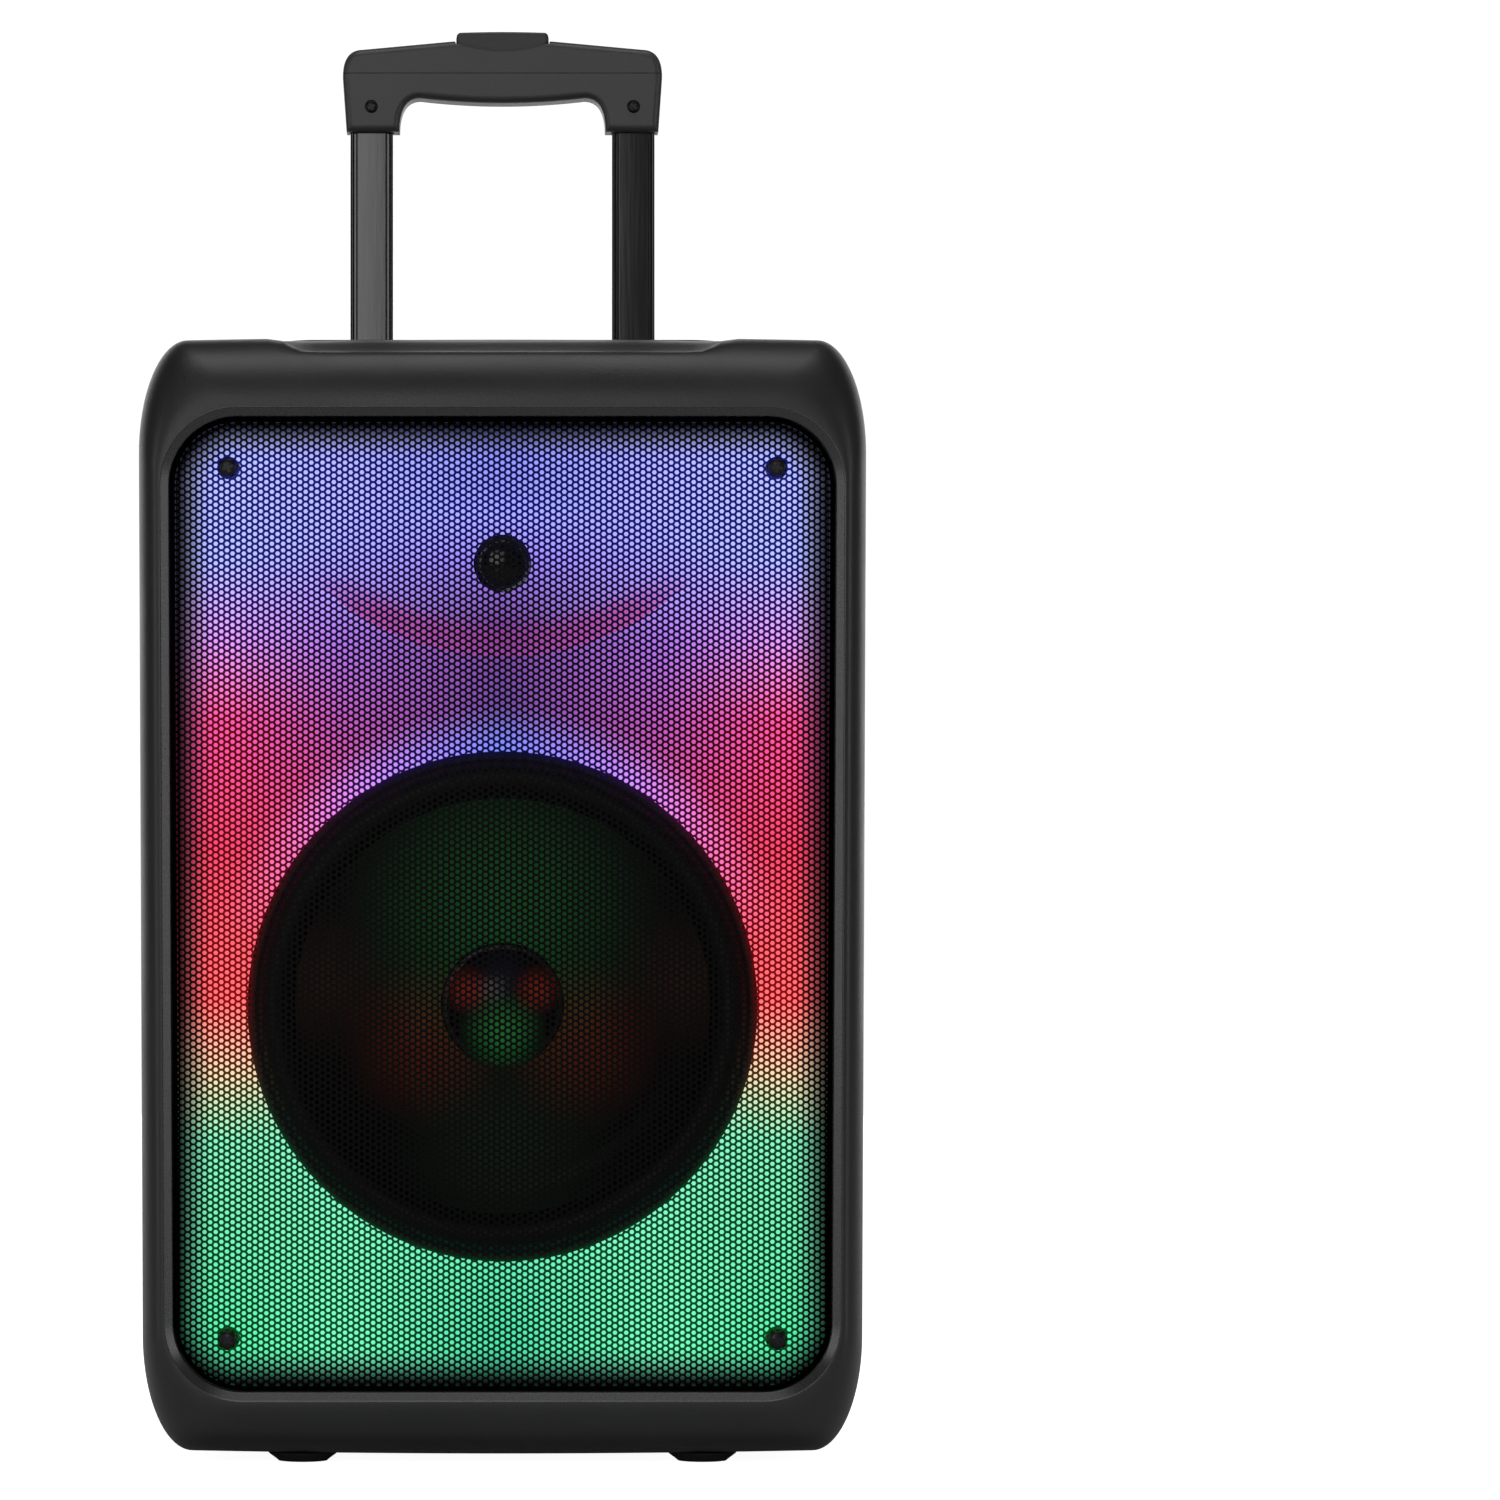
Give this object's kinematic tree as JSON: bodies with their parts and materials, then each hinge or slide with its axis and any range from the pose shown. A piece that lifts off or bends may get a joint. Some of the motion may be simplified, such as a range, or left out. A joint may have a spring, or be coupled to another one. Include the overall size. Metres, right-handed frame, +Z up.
{
  "type": "party speaker",
  "caption": "Tall trolley party speaker with a lit mesh grille over a woofer and a horn tweeter, a top control tray, a telescopic pull handle and rear wheels.",
  "frame": {"origin": "on the floor, under the middle of the speaker's box", "axes": "+Z up, the grille faces -Y, +X to the right of someone who looks at the grille"},
  "size_m": [0.338, 0.29, 0.682],
  "materials": {
    "cabinet_plastic": "satin moulded black plastic with a fine grain",
    "panel_plastic": "smooth black plastic",
    "grip_plastic": "satin moulded black plastic",
    "gloss_plastic": "polished black plastic",
    "key_plastic": "matt dark grey plastic",
    "mesh_steel": "powder-coated perforated steel",
    "black_screw": "black oxide steel",
    "bright_steel": "plated steel",
    "tube_steel": "gloss black lacquered steel tube",
    "light_panel": "milky plastic lit in bands of blue, magenta, red and green",
    "fibreboard": "black-faced fibreboard",
    "rubber": "black rubber",
    "cone_polymer": "glossy black polypropylene cone",
    "ferrite": "grey ferrite with steel plates",
    "spider_cloth": "resin-dipped cotton cloth",
    "copper": "enamelled copper winding",
    "circuit_board": "green glass-fibre board",
    "battery_wrap": "blue shrink wrap",
    "tyre_rubber": "black rubber tyre"
  },
  "bodies": {
    "cabinet": {"front_shell": "cabinet_plastic", "rear_shell": "cabinet_plastic", "foot_left": "rubber", "foot_right": "rubber", "grille": "mesh_steel", "grille_screw_top_left": "black_screw", "grille_screw_top_right": "black_screw", "grille_screw_base_left": "black_screw", "grille_screw_base_right": "black_screw", "diffuser": "light_panel", "tweeter_horn": "light_panel", "tweeter_driver": "gloss_plastic", "led_strip_left": "circuit_board", "led_strip_right": "circuit_board", "baffle": "fibreboard", "woofer_frame": "black_screw", "woofer_magnet": "ferrite", "woofer_surround": "rubber", "woofer_spider": "spider_cloth", "bass_port": "panel_plastic", "rear_panel": "panel_plastic", "power_inlet": "panel_plastic", "top_panel": "panel_plastic", "display_window": "gloss_plastic", "mic_jack": "bright_steel", "usb_port": "bright_steel", "control_board": "circuit_board", "handle_well": "panel_plastic", "handle_guide_left": "panel_plastic", "handle_guide_right": "panel_plastic", "wheel_axle": "bright_steel", "battery_pack": "battery_wrap", "amplifier_board": "circuit_board", "power_supply": "circuit_board"},
    "woofer_piston": {"woofer_cone": "cone_polymer", "dust_cap": "gloss_plastic", "voice_coil": "copper"},
    "volume_knob": {"volume_knob": "gloss_plastic"},
    "mic_knob": {"mic_knob": "gloss_plastic"},
    "echo_knob": {"echo_knob": "gloss_plastic"},
    "mode_key": {"mode_key": "key_plastic"},
    "back_key": {"back_key": "key_plastic"},
    "play_key": {"play_key": "key_plastic"},
    "next_key": {"next_key": "key_plastic"},
    "light_key": {"light_key": "key_plastic"},
    "power_switch": {"power_switch": "gloss_plastic"},
    "wheel_left": {"wheel_tyre_left": "tyre_rubber", "wheel_hub_left": "key_plastic"},
    "wheel_right": {"wheel_tyre_right": "tyre_rubber", "wheel_hub_right": "key_plastic"},
    "middle_stage": {"middle_tube_left": "tube_steel", "middle_tube_right": "tube_steel"},
    "handle": {"inner_tube_left": "tube_steel", "inner_tube_right": "tube_steel", "grip_lower": "grip_plastic", "grip_upper": "grip_plastic", "grip_screw_left": "black_screw", "grip_screw_right": "black_screw"},
    "release": {"release_button": "key_plastic", "release_bar": "bright_steel"}
  },
  "joints": [
    {"name": "middle_slide", "type": "slide", "parent": "cabinet", "child": "middle_stage", "axis": [0, 0, 1], "range_m": [0, 0.2]},
    {"name": "handle_slide", "type": "slide", "parent": "middle_stage", "child": "handle", "axis": [0, 0, 1], "range_m": [-0.154, 0.12]},
    {"name": "release_press", "type": "slide", "parent": "handle", "child": "release", "axis": [0, 0, 1], "range_m": [-0.004, 0], "stiffness_N_per_m": 1500, "springref_m": 0.003},
    {"name": "wheel_left_spin", "type": "hinge", "parent": "cabinet", "child": "wheel_left", "pos_m": [-0.129, 0.113, 0.032], "axis": [1, 0, 0], "continuous": true},
    {"name": "wheel_right_spin", "type": "hinge", "parent": "cabinet", "child": "wheel_right", "pos_m": [0.129, 0.113, 0.032], "axis": [1, 0, 0], "continuous": true},
    {"name": "woofer_stroke", "type": "slide", "parent": "cabinet", "child": "woofer_piston", "axis": [0, 1, 0], "range_m": [-0.003, 0.003], "stiffness_N_per_m": 3000},
    {"name": "volume_turn", "type": "hinge", "parent": "cabinet", "child": "volume_knob", "pos_m": [0, -0.027, 0.51], "axis": [0, 0, 1], "range_deg": [-150, 150]},
    {"name": "mic_turn", "type": "hinge", "parent": "cabinet", "child": "mic_knob", "pos_m": [-0.044, -0.012, 0.51], "axis": [0, 0, 1], "range_deg": [-150, 150]},
    {"name": "echo_turn", "type": "hinge", "parent": "cabinet", "child": "echo_knob", "pos_m": [0.044, -0.012, 0.51], "axis": [0, 0, 1], "range_deg": [-150, 150]},
    {"name": "mode_press", "type": "slide", "parent": "cabinet", "child": "mode_key", "axis": [0, 0, 1], "range_m": [-0.0008, 0], "stiffness_N_per_m": 400, "springref_m": 0.0005},
    {"name": "back_press", "type": "slide", "parent": "cabinet", "child": "back_key", "axis": [0, 0, 1], "range_m": [-0.0008, 0], "stiffness_N_per_m": 400, "springref_m": 0.0005},
    {"name": "play_press", "type": "slide", "parent": "cabinet", "child": "play_key", "axis": [0, 0, 1], "range_m": [-0.0008, 0], "stiffness_N_per_m": 400, "springref_m": 0.0005},
    {"name": "next_press", "type": "slide", "parent": "cabinet", "child": "next_key", "axis": [0, 0, 1], "range_m": [-0.0008, 0], "stiffness_N_per_m": 400, "springref_m": 0.0005},
    {"name": "light_press", "type": "slide", "parent": "cabinet", "child": "light_key", "axis": [0, 0, 1], "range_m": [-0.0008, 0], "stiffness_N_per_m": 400, "springref_m": 0.0005},
    {"name": "switch_rock", "type": "hinge", "parent": "cabinet", "child": "power_switch", "pos_m": [0.024, 0.1384, 0.154], "axis": [1, 0, 0], "range_deg": [0, 10.5]}
  ]
}
